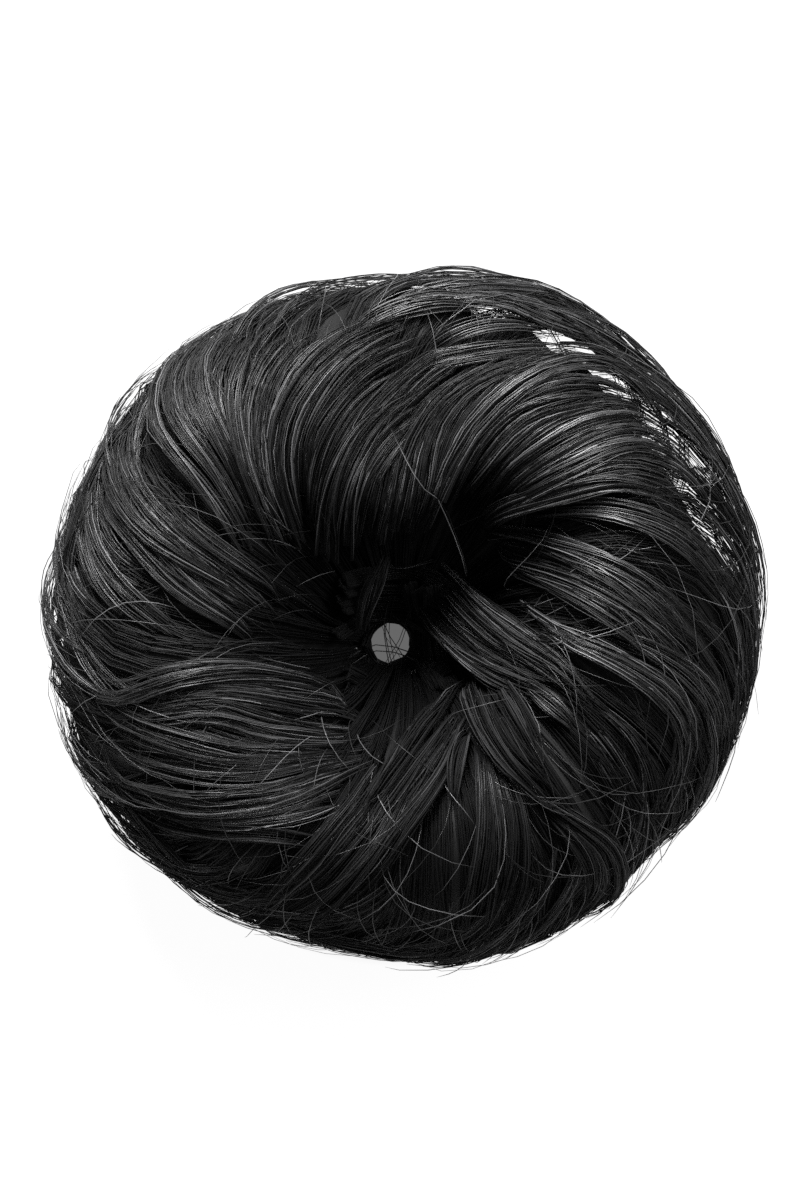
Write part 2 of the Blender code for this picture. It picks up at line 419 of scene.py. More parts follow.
def strandTree():
    tree = bpy.data.node_groups.new("hairStrands", "GeometryNodeTree")
    for name, kind in (
        ("Guides", "NodeSocketGeometry"),
        ("Strands", "NodeSocketInt"),
        ("Strand width", "NodeSocketFloat"),
        ("Wander", "NodeSocketFloat"),
        ("Strays", "NodeSocketFloat"),
        ("Curl size", "NodeSocketFloat"),
        ("Shortest", "NodeSocketFloat"),
        ("Seed", "NodeSocketInt"),
        ("Hair", "NodeSocketMaterial"),
    ):
        tree.interface.new_socket(name, in_out="INPUT", socket_type=kind)
    tree.interface.new_socket("Hair strands", in_out="OUTPUT", socket_type="NodeSocketGeometry")
    g = Graph(tree)
    given = tree.nodes.new("NodeGroupInput")
    start = {socket.name: Wire(g, socket) for socket in given.outputs if socket.name}

    def perStrand(low, high, step):
        # one random number for a whole strand
        settings = {"data_type": "FLOAT"}
        inputs = {2: low, 3: high, "Seed": start["Seed"] + step}
        value = g.node("FunctionNodeRandomValue", settings, inputs, out=1)
        held = {"data_type": "FLOAT", "domain": "CURVE"}
        return g.node("GeometryNodeFieldOnDomain", held, {0: value})

    def guideValue(name, kind):
        settings = {"data_type": kind}
        return g.node("GeometryNodeInputNamedAttribute", settings, {"Name": name})

    curves = g.node("GeometryNodeMeshToCurve", None, {"Mesh": start["Guides"]})
    amount = {"Geometry": curves, "Amount": start["Strands"]}
    copies = g.node("GeometryNodeDuplicateElements", {"domain": "SPLINE"}, amount)
    reach = perStrand(0.0, 1.0, 1) ** 0.8
    turn = perStrand(0.0, 2 * math.pi, 2)
    sideways = reach * g.maths("COSINE", turn) * guideValue("halfWidth", "FLOAT")
    upwards = reach * g.maths("SINE", turn) * guideValue("halfDepth", "FLOAT")
    offset = g.vector(
        "ADD",
        g.scaled(guideValue("across", "FLOAT_VECTOR"), sideways),
        g.scaled(guideValue("out", "FLOAT_VECTOR"), upwards),
    )
    # a slow wander of its own for each strand; most keep to the wisp and a few stray
    own = g.combined(perStrand(0, 9, 3), perStrand(0, 9, 4), perStrand(0, 9, 5))
    place = g.node("GeometryNodeInputPosition")
    spot = g.vector("ADD", g.scaled(place, 1 / start["Curl size"]), own)
    inputs = {"Vector": spot, "Scale": 1.0, "Detail": 1.0}
    noise = g.node("ShaderNodeTexNoise", None, inputs, out="Color")
    sway = g.vector("SUBTRACT", noise, (0.5, 0.5, 0.5))
    straying = start["Wander"] + start["Strays"] * perStrand(0.0, 1.0, 8) ** 9
    sway = g.scaled(sway, straying * guideValue("loose", "FLOAT"))
    inputs = {"Geometry": copies, "Offset": g.vector("ADD", offset, sway)}
    moved = g.node("GeometryNodeSetPosition", None, inputs)
    aboveFloor = g.vector("MAXIMUM", g.node("GeometryNodeInputPosition"), (-1, -1, lowestHair))
    moved = g.node("GeometryNodeSetPosition", None, {"Geometry": moved, "Position": aboveFloor})
    ends = {0: moved, 3: perStrand(start["Shortest"], 1.0, 9)}
    ended = g.node("GeometryNodeTrimCurve", {"mode": "FACTOR"}, ends)
    along = g.node("GeometryNodeSplineParameter")
    taper = g.maths("MINIMUM", (1 - along) * 5 + 0.25, 1.0)
    thickness = perStrand(0.6, 1.25, 6) * taper
    told = ended
    for name, domain, value in (("tone", "CURVE", perStrand(0.0, 1.0, 7)), ("way", "POINT", along)):
        told = g.node(
            "GeometryNodeStoreNamedAttribute",
            {"data_type": "FLOAT", "domain": domain},
            {"Geometry": told, "Name": name, "Value": value},
        )
    corners = {"Resolution": 3, "Radius": start["Strand width"] / 2}
    section = g.node("GeometryNodeCurvePrimitiveCircle", {"mode": "RADIUS"}, corners)
    swept = {"Curve": told, "Profile Curve": section, "Scale": thickness, "Fill Caps": True}
    tubes = g.node("GeometryNodeCurveToMesh", None, swept)
    for name in ("across", "out", "halfWidth", "halfDepth", "loose"):
        tubes = g.node("GeometryNodeRemoveAttribute", None, {"Geometry": tubes, "Name": name})
    smooth = g.node("GeometryNodeSetShadeSmooth", {"domain": "FACE"}, {0: tubes})
    real = g.node("GeometryNodeRealizeInstances", None, {0: smooth})
    dressed = {"Geometry": real, "Material": start["Hair"]}
    g.node("NodeGroupOutput", None, {0: g.node("GeometryNodeSetMaterial", None, dressed)})
    return tree


def grow(name, guides, looks, material, seed, replaced=()):
    # turns guides into a plain mesh of strands that rides on the hairpiece
    mesh = bpy.data.meshes.new(name)
    points, edges = [], []
    for guide in guides:
        edges += [(len(points) + k, len(points) + k + 1) for k in range(len(guide.points) - 1)]
        points += guide.points
    mesh.from_pydata(points, edges, [])
    for field, kind, slot in (
        ("across", "FLOAT_VECTOR", "vector"),
        ("out", "FLOAT_VECTOR", "vector"),
        ("halfWidth", "FLOAT", "value"),
        ("halfDepth", "FLOAT", "value"),
        ("loose", "FLOAT", "value"),
    ):
        values = [v for guide in guides for v in getattr(guide, field)]
        if kind == "FLOAT_VECTOR":
            values = [c for v in values for c in v]
        mesh.attributes.new(field, kind, "POINT").data.foreach_set(slot, values)
    piece = bpy.data.objects.new(name, mesh)
    bpy.context.scene.collection.objects.link(piece)
    modifier = piece.modifiers.new("strands", "NODES")
    modifier.node_group = strands
    keys = ("strands", "strandWidth", "wander", "strays", "curlSize", "shortest")
    titles = ("Strands", "Strand width", "Wander", "Strays", "Curl size", "Shortest")
    chosen = {title: looks[key] for title, key in zip(titles, keys)}
    chosen |= {"Seed": seed, "Hair": material}
    for item in strands.interface.items_tree:
        if item.in_out == "INPUT" and item.name in chosen:
            modifier[item.identifier] = chosen[item.name]
    dg = bpy.context.evaluated_depsgraph_get()
    grown = bpy.data.meshes.new_from_object(piece.evaluated_get(dg), depsgraph=dg)
    piece.modifiers.remove(modifier)
    piece.data = grown
    grown.name = name
    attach(piece, "root")
    if replaced:
        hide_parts(*replaced)
    grown.calc_loop_triangles()
    return len(grown.loop_triangles)


# Materials

# brightShare bends the spread of the strands' tones: the higher, the fewer are light.
# the two fades say how soon a strand is at its brightest from its two ends; the darker ends are
# painted shade.
# the locks and other deep hair: a shaded copy of the hair, darker than the top wisps, as painted
# shade
shadedBelowFinish = {
    "deepBlack": (0.0022, 0.0022, 0.0024, 1),
    "softBlack": (0.0130, 0.0130, 0.0134, 1),
    "brightShare": 3.0,
    "roughness": 0.46,
    "dullness": 0.16,
    "dullEnds": 0.40,
    "refraction": 1.40,
    "startShadeFade": 2.8,
    "endShadeFade": 2.6,
}

# the hair over the rest: the lit copy of the same hair, whose light tones are partly painted sheen
litTopFinish = {
    "deepBlack": (0.0030, 0.0030, 0.0032, 1),
    "softBlack": (0.2200, 0.2200, 0.2240, 1),
    "brightShare": 4.6,
    "roughness": 0.27,
    "dullness": 0.24,
    "dullEnds": 0.30,
    "refraction": 1.60,
    "startShadeFade": 4.5,
    "endShadeFade": 2.6,
}

# painted shade on the side towards the lower edge of the frame: its wisps are darker, most of all
# near the rim
lowerShadeFinish = {
    **litTopFinish,
    "softBlack": (0.1000, 0.1000, 0.1020, 1),
    "roughness": 0.31,
    "dullness": 0.34,
    "dullEnds": 0.42,
    "refraction": 1.36,
    "endShadeFade": 1.35,
}


def hairMaterial(name, finish):
    # each strand has its own tone and painted shade at its ends, and where it is darker it is
    # duller
    material, g = newMaterial(name)
    tone, way = g.stored("tone"), g.stored("way")
    patches = g.noise(g.node("ShaderNodeTexCoord", out="Object"), 70, 2)
    amid = g.maths("MINIMUM", way * finish["startShadeFade"], 1.0)
    amid = amid * g.maths("MINIMUM", (1 - way) * finish["endShadeFade"], 1.0)
    light = tone ** finish["brightShare"] * (0.4 + patches * 1.2) * amid
    shade = g.mixed(light, finish["deepBlack"], finish["softBlack"])
    rough = finish["roughness"] + (1 - tone) * finish["dullness"]
    rough = rough + (1 - amid) * finish["dullEnds"]
    g.surface({"Base Color": shade, "Roughness": rough, "IOR": finish["refraction"]})
    return material


# locks whose crown lies between these azimuths are in the shade of the rest
shadedSide = (-160, -28)
shadedFinish = {
    **shadedBelowFinish,
    "softBlack": (0.0060, 0.0060, 0.0062, 1),
    "roughness": 0.60,
    "refraction": 1.30,
}

underFinish = {
    "deepBlack": (0.0015, 0.0015, 0.0016, 1),
    "softBlack": (0.0060, 0.0060, 0.0062, 1),
    "streaksAcross": 11,  # to a lock
    "streaksAlong": 0.02,  # to a degree of the section
    "roughness": 0.65,
    "bump": 0.5,
    "bumpHeight": 0.0004,
}


def underMaterial():
    # the imported hair below the loose strands: fine streaks that run along the locks. It is darker
    # than the strands over it, as painted shade of that hair, and the streaks have painted shade in
    # their dips
    material, g = newMaterial("packedHair")
    spot = g.combined(
        g.stored("acrossLocks") * underFinish["streaksAcross"],
        g.stored("alongLocks") * underFinish["streaksAlong"],
    )
    g.relief(underFinish, g.noise(spot, 1, 4))
    return material


woundFinish = {
    "deepBlack": (0.003, 0.003, 0.0032, 1),
    "softBlack": (0.011, 0.011, 0.0115, 1),
    "strandsRound": 260,
    "strandsOutwards": 60,
    "swirl": 26,
    "roughness": 0.42,
    "bump": 0.35,
    "bumpHeight": 0.0004,
}


def woundMaterial():
    # fine streaks that follow the swirl of the hair round the ring, with painted shade in their
    # dips
    material, g = newMaterial("woundHair")
    x, y, _ = g.split(g.node("ShaderNodeTexCoord", out="Object"))
    radius = g.maths("SQRT", x * x + y * y)
    turn = g.maths("ARCTAN2", y, x) + radius * woundFinish["swirl"]
    perTurn = woundFinish["strandsRound"] / 6.28
    spot = g.combined(
        g.maths("COSINE", turn) * perTurn,
        g.maths("SINE", turn) * perTurn,
        radius * woundFinish["strandsOutwards"],
    )
    g.relief(woundFinish, g.noise(spot, 1, 3))
    return material


bandFinish = {
    "deepBlack": (0.003, 0.003, 0.003, 1),
    "softBlack": (0.012, 0.012, 0.013, 1),
    "threadsRound": 90,
    "slant": 2500,
    "roughness": 0.72,
    "bump": 0.6,
    "bumpHeight": 0.0003,
}


def bandMaterial():
    # the knitted cover of the elastic: slanting ribs round the cord, with painted shade between
    # them
    material, g = newMaterial("coveredElastic")
    x, y, z = g.split(g.node("ShaderNodeTexCoord", out="Object"))
    turn = g.maths("ARCTAN2", y, x) * bandFinish["threadsRound"]
    ribs = g.maths("SINE", turn + z * bandFinish["slant"]) * 0.5 + 0.5
    crossed = g.maths("SINE", turn - z * bandFinish["slant"]) * 0.5 + 0.5
    g.relief(bandFinish, g.maths("MAXIMUM", ribs, crossed))
    return material


shadedHairBelow = hairMaterial("shadedHairBelow", shadedBelowFinish)
litHairOnTop = hairMaterial("litHairOnTop", litTopFinish)
hairInLowerShade = hairMaterial("hairInLowerShade", lowerShadeFinish)
hairInShade = hairMaterial("hairInShade", shadedFinish)
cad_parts["hair_base"].material_slots[0].material = woundMaterial()
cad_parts["elastic_band"].material_slots[0].material = bandMaterial()
strands = strandTree()
print("materials and strand tree made")


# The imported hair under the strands: one closed skin over the ring

underLooks = {
    "share": 0.78,  # of the hair's full depth
    "sparseShare": 0.08,  # where the rim is only thinly covered
    "sparseBelow": 0.65,  # such a lock's rimCover
    "sparseFrom": 60,
    "sparseFade": 14,
    "leastLift": 0.0006,
    "undersideLift": 0.0002,
    "across": 6,  # faces to a lock
    "fromAngle": 213,
    "toAngle": -30,
    "step": 9,
}


def underHair():
    angles = range(underLooks["fromAngle"], underLooks["toAngle"] - 1, -underLooks["step"])
    columns = [(index, k / underLooks["across"]) for index in range(len(locks))
               for k in range(underLooks["across"])]
    points, across, along, faces = [], [], [], []
    for side in ("over", "under"):
        for angle in angles if side == "over" else angles[::-1]:
            for index, share in columns:
                first, last = partings(index, angle)
                azimuth = first + (last - first) * share
                lift = underLooks["undersideLift"]
                if side == "over":
                    fade = 1
                    if locks[index].rimCover < underLooks["sparseBelow"]:
                        past = (angle - underLooks["sparseFrom"]) / underLooks["sparseFade"]
                        fade = min(max(past + 0.5, 0), 1)
                    part = underLooks["sparseShare"] * (1 - fade) + underLooks["share"] * fade
                    lift = max(coverLift(angle, azimuth) * part, underLooks["leastLift"])
                points.append(overRing(angle, azimuth, lift))
                across.append(index + share)
                along.append(angle)
    rows, wide = 2 * len(angles), len(columns)
    for row in range(rows):
        this, after = row * wide, (row + 1) % rows * wide
        for column in range(wide):
            right = (column + 1) % wide
            faces.append((this + column, this + right, after + right, after + column))
    mesh = bpy.data.meshes.new("packed_hair")
    mesh.from_pydata(points, [], faces)
    mesh.attributes.new("acrossLocks", "FLOAT", "POINT").data.foreach_set("value", across)
    mesh.attributes.new("alongLocks", "FLOAT", "POINT").data.foreach_set("value", along)
    mesh.polygons.foreach_set("use_smooth", [True] * len(faces))
    mesh.materials.append(underMaterial())
    piece = bpy.data.objects.new("packed_hair", mesh)
    bpy.context.scene.collection.objects.link(piece)
    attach(piece, "root")
    return len(faces) * 2


triangles = underHair()
print("packed hair made,", triangles, "triangles")


# The locks

lockLooks = {
    "wisps": 8,
    "heads": (214, 212, 208, 172, 150),  # where a wisp may start
    "strands": 18,
    "stepInMouth": 8,
    "stationStep": 15,
    "strandWidth": 0.00025,
    "wander": 0.0011,
    "strays": 0.0060,
    "curlSize": 0.016,
    "shortest": 0.80,
    "halfWidth": (0.10, 0.22),  # shares of the lock's width
    "halfDepth": (0.0005, 0.0013),
    "drift": 0.22,
    "layers": (0.80, 1.0),
    "sway": 4.0,  # degrees that a lock bends from its path
    "crossers": 0.25,  # share of the wisps that drift over the next lock
    "rimSweep": 20,
    "tails": (-58, -28),
    "shortTails": (48, 70),
}


def rimTurn(angle):
    # the hair turns along the rim before it ends, in degrees of azimuth
    return -lockLooks["rimSweep"] * (min(max((52 - angle) / 88, 0), 1)) ** 1.5


def lockGuides(index, rng):
    lock = locks[index]
    guides = []
    sway, bend = rng.uniform(-1, 1) * lockLooks["sway"], rng.uniform(0, 2 * math.pi)
    for w in range(lockLooks["wisps"]):
        home = (w + rng.uniform(0.1, 0.9)) / lockLooks["wisps"]
        layer = rng.uniform(*lockLooks["layers"])
        drift = rng.uniform(-1, 1) * lockLooks["drift"]
        crossing = rng.uniform(-0.9, 0.9) if rng.random() < lockLooks["crossers"] else 0
        turned = rng.uniform(0.4, 1.5)
        phase = rng.uniform(0, 2 * math.pi)
        share = rng.uniform(*lockLooks["halfWidth"])
        depth = rng.uniform(*lockLooks["halfDepth"])
        head = rng.choice(lockLooks["heads"])
        tail = rng.uniform(*lockLooks["tails"])
        if rng.random() > lock.rimCover:
            tail = rng.uniform(*lockLooks["shortTails"])
        angles = [head]
        while angles[-1] > tail:
            step = lockLooks["stepInMouth" if angles[-1] > 168 else "stationStep"]
            angles.append(max(angles[-1] - step, tail))
        spots, widths, depths, loose = [], [], [], []
        for angle in angles:
            t = (head - angle) / (head - tail)
            first, last = partings(index, angle)
            s = home + drift * math.sin(2 * math.pi * t + phase) + crossing * t * t
            azimuth = first + (last - first) * s + rimTurn(angle) * turned
            azimuth += sway * math.sin(4 * t + bend)
            cover = coverLift(angle, azimuth)
            lift = cover * layer + 0.0005 * math.sin(5 * t + 2 * phase)
            lift += 0.0008 * abs(crossing) * math.sin(math.pi * t)
            if head < 180:  # such a wisp comes out from under the others
                lift -= 0.0015 * max(1 - 6 * t, 0)
            spots.append((angle, azimuth, max(lift, 0.0008)))
            widths.append(share * math.radians(first - last) * ringSection(angle, first)[0])
            depths.append(min(depth, 0.5 * lift))
            loose.append(0.3 + 0.7 * t)
        guides.append(guideThrough(spots, widths, depths, loose))
    return guides


rng = random.Random(7)
for index in range(len(locks)):
    name = f"strands_{index + 1:02d}"
    node = f"lock_{index + 1:02d}"
    guides = lockGuides(index, rng)
    shaded = shadedSide[0] < locks[index].crown < shadedSide[1]
    hair = hairInShade if shaded else shadedHairBelow
    triangles += grow(name, guides, lockLooks, hair, 100 + index, (node,))
print("locks grown,", triangles, "triangles")


# Wisps that lie over the others, placed by where the photo shows their middle lines

topLooks = {
    "strands": 10,  # in each part of a wisp
    "partsMore": 2,
    "ragged": 0.16,
    "stations": 13,
    "strandWidth": 0.00026,
    "wander": 0.0012,
    "strays": 0.0060,
    "curlSize": 0.020,
    "shortest": 0.72,
    "halfDepth": 0.0008,
    "sunk": 0.0016,
    "fillSunk": 0.0006,
    "crestHeight": 57,
    "nearStarts": 70,  # photo pixels: rows this near each other get a wisp between them
    "nearEnds": 95,
    "shapes": {
        "fan": ((0, 0.36), (0.5, 0.8), (1, 1.0)),
        "leaf": ((0, 0.35), (0.5, 1.0), (1, 0.35)),
        "tress": ((0, 0.8), (0.5, 1.0), (1, 0.55)),
    },
}

# halfWidth and lift are in millimetres, and bridge is the share of the dip towards the
# hole that a wisp bridges. parts is the number of narrower wisps in it. A point is a
# photo pixel, and with a third number it is that many millimetres above the floor.
Wisp = namedtuple("Wisp", "shape halfWidth lift bridge parts points")
leftWisps = (
    Wisp("fan", 5.0, 1.8, 0, 5, ((265, 570), (215, 490), (169, 425), (166, 388), (184, 352),
         (222, 325))),
    Wisp("fan", 4.2, 1.2, 0, 4, ((258, 520), (230, 460), (207, 410), (203, 370), (218, 343),
         (262, 314))),
    Wisp("tress", 2.2, 2.2, 0, 2, ((292, 570), (260, 510), (240, 445), (237, 390), (252, 346),
         (286, 310))),
    Wisp("fan", 3.6, 1.6, 0, 4, ((302, 560), (270, 495), (260, 445), (267, 395), (292, 352),
         (335, 318))),
    Wisp("fan", 3.4, 2.0, 0.4, 4, ((306, 550), (281, 470), (286, 420), (312, 375), (354, 338),
         (425, 312))),
    Wisp("fan", 4.2, 1.5, 0.5, 4, ((303, 500), (308, 445), (330, 400), (367, 360), (425, 332))),
    Wisp("tress", 2.0, 2.6, 0.65, 2, ((319, 565), (330, 482), (362, 425), (425, 377))),
    Wisp("tress", 2.4, 2.0, 0.85, 3, ((343, 565), (348, 495), (367, 445), (397, 410), (440, 385))),
    Wisp("tress", 2.4, 1.4, 0.85, 3, ((358, 530), (372, 477), (402, 435), (447, 405))),
    Wisp("leaf", 1.8, 0.5, 0, 2, ((360, 640, 22), (370, 598, 27), (390, 545, 35))),
    Wisp("fan", 5.0, 1.8, 0, 5, ((292, 622), (215, 570), (150, 520), (124, 475), (122, 438),
         (146, 392))),
    Wisp("fan", 4.0, 1.3, 0, 4, ((268, 645), (190, 597), (140, 542), (112, 500), (112, 455))),
    Wisp("leaf", 1.6, 2.8, 0, 1, ((288, 605), (215, 545), (160, 485))),
    Wisp("leaf", 3.0, 1.3, 0, 3, ((190, 642), (135, 603), (98, 550), (90, 495), (100, 452))),
    Wisp("leaf", 2.8, 0.8, 0, 3, ((70, 650), (60, 595), (74, 540), (92, 485), (117, 438),
         (162, 385))),
    Wisp("fan", 3.6, 2.4, 0, 4, ((382, 674), (355, 682), (320, 686), (265, 675), (200, 674),
         (150, 686), (115, 698), (94, 684), (80, 640))),
    Wisp("tress", 3.2, 1.8, 0, 3, ((388, 692), (366, 702), (332, 712), (290, 708), (227, 694),
         (180, 694), (138, 702))),
    Wisp("tress", 3.0, 1.4, 0, 3, ((388, 712), (362, 728), (322, 738), (265, 730), (215, 712),
         (150, 716), (104, 706))),
    Wisp("fan", 4.2, 1.2, 0, 4, ((386, 730), (350, 750), (290, 758), (240, 760), (180, 744),
         (135, 726), (98, 700), (84, 668))),
    Wisp("tress", 3.4, 1.8, 0, 4, ((400, 728), (376, 752), (340, 772), (290, 794), (240, 801),
         (165, 796), (118, 780), (94, 742))),
    Wisp("fan", 3.6, 1.2, 0, 3, ((362, 785), (315, 808), (265, 814), (190, 812), (135, 796))),
)
bottomWisps = (
    Wisp("fan", 4.0, 1.0, 0, 4, ((330, 846), (265, 836), (200, 828), (150, 812), (112, 780))),
    Wisp("tress", 3.0, 2.0, 0, 2, ((397, 738), (365, 798), (327, 842), (282, 888), (256, 920))),
    Wisp("fan", 3.2, 1.4, 0, 2, ((416, 772), (390, 836), (352, 884), (312, 914), (255, 922))),
    Wisp("tress", 2.4, 2.6, 0, 3, ((470, 660), (452, 688), (424, 732), (394, 772), (368, 806),
         (336, 852))),
    Wisp("fan", 3.4, 1.6, 0, 3, ((472, 690), (462, 732), (445, 775), (407, 825), (378, 862),
         (335, 905))),
    Wisp("leaf", 2.0, 2.0, 0, 2, ((470, 722), (458, 765), (452, 812))),
    Wisp("fan", 5.0, 1.4, 0, 4, ((470, 700), (484, 760), (488, 825), (482, 885), (466, 948))),
    Wisp("fan", 3.8, 1.3, 0, 3, ((490, 745), (514, 800), (520, 850), (512, 900), (494, 944))),
    Wisp("tress", 2.6, 2.8, 0, 3, ((456, 652), (470, 684), (481, 725), (502, 762), (536, 794),
         (566, 818))),
    Wisp("tress", 2.2, 2.2, 0, 3, ((488, 658), (505, 686), (521, 714), (540, 755), (562, 784))),
    Wisp("fan", 2.8, 1.8, 0, 3, ((530, 790), (582, 822), (608, 842), (616, 868), (604, 902),
         (570, 922))),
    Wisp("leaf", 1.8, 1.2, 0, 2, ((548, 812), (580, 845), (592, 872), (584, 912))),
    Wisp("fan", 3.4, 0.4, 0, 1, ((596, 700), (628, 735), (652, 775), (662, 822))),
    Wisp("fan", 3.0, 0.2, 0, 1, ((572, 716), (604, 760), (626, 800), (642, 846))),
    Wisp("leaf", 3.2, 0.8, 0, 3, ((470, 952), (400, 952), (330, 938), (262, 916))),
    Wisp("leaf", 2.6, 0.8, 0, 3, ((262, 918), (212, 888), (160, 838), (120, 786), (96, 734))),
)
rightWisps = (
    Wisp("leaf", 2.6, 0.6, 0, 3, ((395, 305), (450, 299), (510, 306), (570, 328), (625, 364))),
    Wisp("leaf", 2.4, 0.4, 0, 3, ((548, 352), (590, 360), (632, 384), (664, 420))),
    Wisp("tress", 3.2, 0.4, 0, 1, ((425, 347), (470, 327), (520, 324), (575, 340))),
    Wisp("fan", 2.8, 0.0, 0, 4, ((418, 608, 17), (446, 644, 30), (490, 676, 43), (545, 700, 53))),
    Wisp("fan", 3.4, 0.0, 0, 5, ((402, 562, 14), (426, 598, 21), (458, 632, 31), (505, 662, 43),
         (568, 684, 53))),
    Wisp("fan", 3.4, 0.0, 0, 5, ((418, 552, 18), (448, 590, 27), (488, 628, 38), (530, 652, 47),
         (584, 690, 54))),
    Wisp("leaf", 3.0, 0.0, 0, 4, ((436, 556, 24), (475, 600, 34), (520, 635, 46), (566, 668, 53),
         (602, 712, 54))),
    Wisp("leaf", 2.2, 1.4, 0, 2, ((520, 680), (555, 705), (580, 732))),
    Wisp("fan", 3.6, 1.6, 0, 4, ((495, 596), (560, 632), (620, 662), (665, 692), (692, 735),
         (690, 772))),
    Wisp("fan", 3.4, 1.2, 0, 3, ((600, 628), (655, 652), (696, 684), (716, 722), (712, 765))),
    Wisp("fan", 4.6, 1.8, 0, 5, ((452, 580), (520, 566), (580, 592), (632, 626), (684, 676))),
    Wisp("fan", 4.6, 1.5, 0, 5, ((462, 546), (492, 538), (540, 542), (605, 570), (667, 618),
         (706, 668))),
)
upperWisps = (
    Wisp("fan", 3.6, 1.8, 0, 4, ((512, 520), (580, 507), (655, 526), (706, 566), (736, 612))),
    Wisp("tress", 3.0, 2.2, 0.5, 4, ((478, 524), (505, 508), (555, 494), (615, 482), (662, 492),
         (694, 514))),
    Wisp("tress", 3.0, 1.6, 0.65, 4, ((500, 512), (526, 494), (580, 467), (630, 449), (666, 456),
         (690, 470))),
    Wisp("tress", 2.8, 1.8, 0.75, 3, ((490, 500), (516, 472), (555, 445), (592, 425), (635, 420),
         (678, 442))),
    Wisp("tress", 2.6, 1.4, 0.75, 3, ((478, 488), (503, 458), (540, 425), (580, 408), (622, 404),
         (660, 420))),
    Wisp("tress", 2.2, 2.0, 0.85, 3, ((458, 490), (480, 456), (515, 417), (560, 400), (602, 397),
         (640, 408))),
    Wisp("tress", 2.4, 2.4, 0.85, 4, ((424, 530), (440, 490), (463, 440), (502, 397), (555, 364),
         (606, 362), (652, 388), (700, 440))),
    Wisp("tress", 2.4, 1.8, 0.85, 3, ((416, 528), (432, 488), (448, 435), (483, 390), (530, 362),
         (580, 354), (625, 370))),
    Wisp("tress", 2.8, 1.8, 0.85, 3, ((408, 528), (422, 485), (431, 430), (463, 387), (503, 368),
         (556, 358))),
    Wisp("tress", 2.4, 1.8, 0.85, 3, ((394, 540), (403, 500), (415, 445), (446, 398), (488, 374),
         (540, 362))),
    Wisp("tress", 2.6, 1.6, 0.85, 3, ((378, 548), (386, 505), (398, 455), (428, 405), (470, 372),
         (515, 352))),
    Wisp("tress", 3.0, 1.6, 0.65, 4, ((342, 510), (348, 468), (362, 425), (398, 385), (432, 358),
         (470, 346))),
    Wisp("leaf", 3.2, 0.8, 0, 4, ((330, 345), (380, 318), (440, 302), (500, 308))),
    Wisp("tress", 2.8, 1.4, 0.4, 3, ((382, 398), (425, 366), (475, 353), (530, 348), (584, 352))),
    Wisp("leaf", 2.6, 0.9, 0, 3, ((360, 322), (442, 300), (505, 304), (556, 326), (606, 344),
         (648, 374))),
    Wisp("leaf", 2.0, 1.2, 0, 2, ((375, 302), (442, 287), (504, 292), (572, 308), (626, 348),
         (676, 402))),
    Wisp("tress", 1.3, 0.4, 0, 1, ((618, 420), (652, 432), (684, 456), (706, 484))),
    Wisp("tress", 1.2, 0.4, 0, 1, ((636, 456), (668, 462), (700, 490), (720, 520))),
    Wisp("leaf", 2.8, 1.0, 0, 3, ((600, 345), (655, 388), (704, 446), (738, 505), (752, 560))),
)


def inTheAir(px, py, height):
    eye, look = photoLook(px, py)
    return eye + look * ((height / 1000 - eye.z) / look.z)


def onHair(px, py):
    # the section angle and azimuth of the hair that a photo pixel shows
    height = 48.0
    for _ in range(12):
        spot = inTheAir(px, py, height) - ringMiddle
        azimuth = math.degrees(math.atan2(spot.y, spot.x))
        inner, outer = 168.0, 8.0
        for _ in range(10):
            angle = (inner + outer) / 2
            place = overRing(angle, azimuth, coverLift(angle, azimuth, True))
            if (place - ringMiddle).xy.length < spot.xy.length:
                inner = angle
            else:
                outer = angle
        height += 0.5 * (place.z * 1000 - height)
    return angle, azimuth


def throughAir(points, stations):
    # a smooth line through photo pixels that have heights, with its ways across and out
    places = [inTheAir(*point) for point in points]
    marks = [0.0]
    for before, after in zip(places, places[1:]):
        marks.append(marks[-1] + (after - before).length)
    line = []
    for k in range(stations):
        at = k / (stations - 1) * marks[-1]
        keys = ([(mark, place[axis]) for mark, place in zip(marks, places)] for axis in range(3))
        line.append(Vector([alongKeys(at, axisKeys) for axisKeys in keys]))
    acrosses = []
    for k in range(stations):
        along = line[min(k + 1, stations - 1)] - line[max(k - 1, 0)]
        acrosses.append(along.cross(Vector((0, 0, 1))).normalized())
    return line, acrosses, [Vector((0, 0, 1))] * stations


def bridgedPoints(row):
    points = []
    for px, py in row.points:
        angle, azimuth = onHair(px, py)
        height = overRing(angle, azimuth, coverLift(angle, azimuth, True)).z * 1000
        dip = max(topLooks["crestHeight"] - height, 0) if angle > 90 else 0
        share = row.bridge if points else 0.3 * row.bridge
        points.append((px, py, height + row.lift + share * dip))
    return points


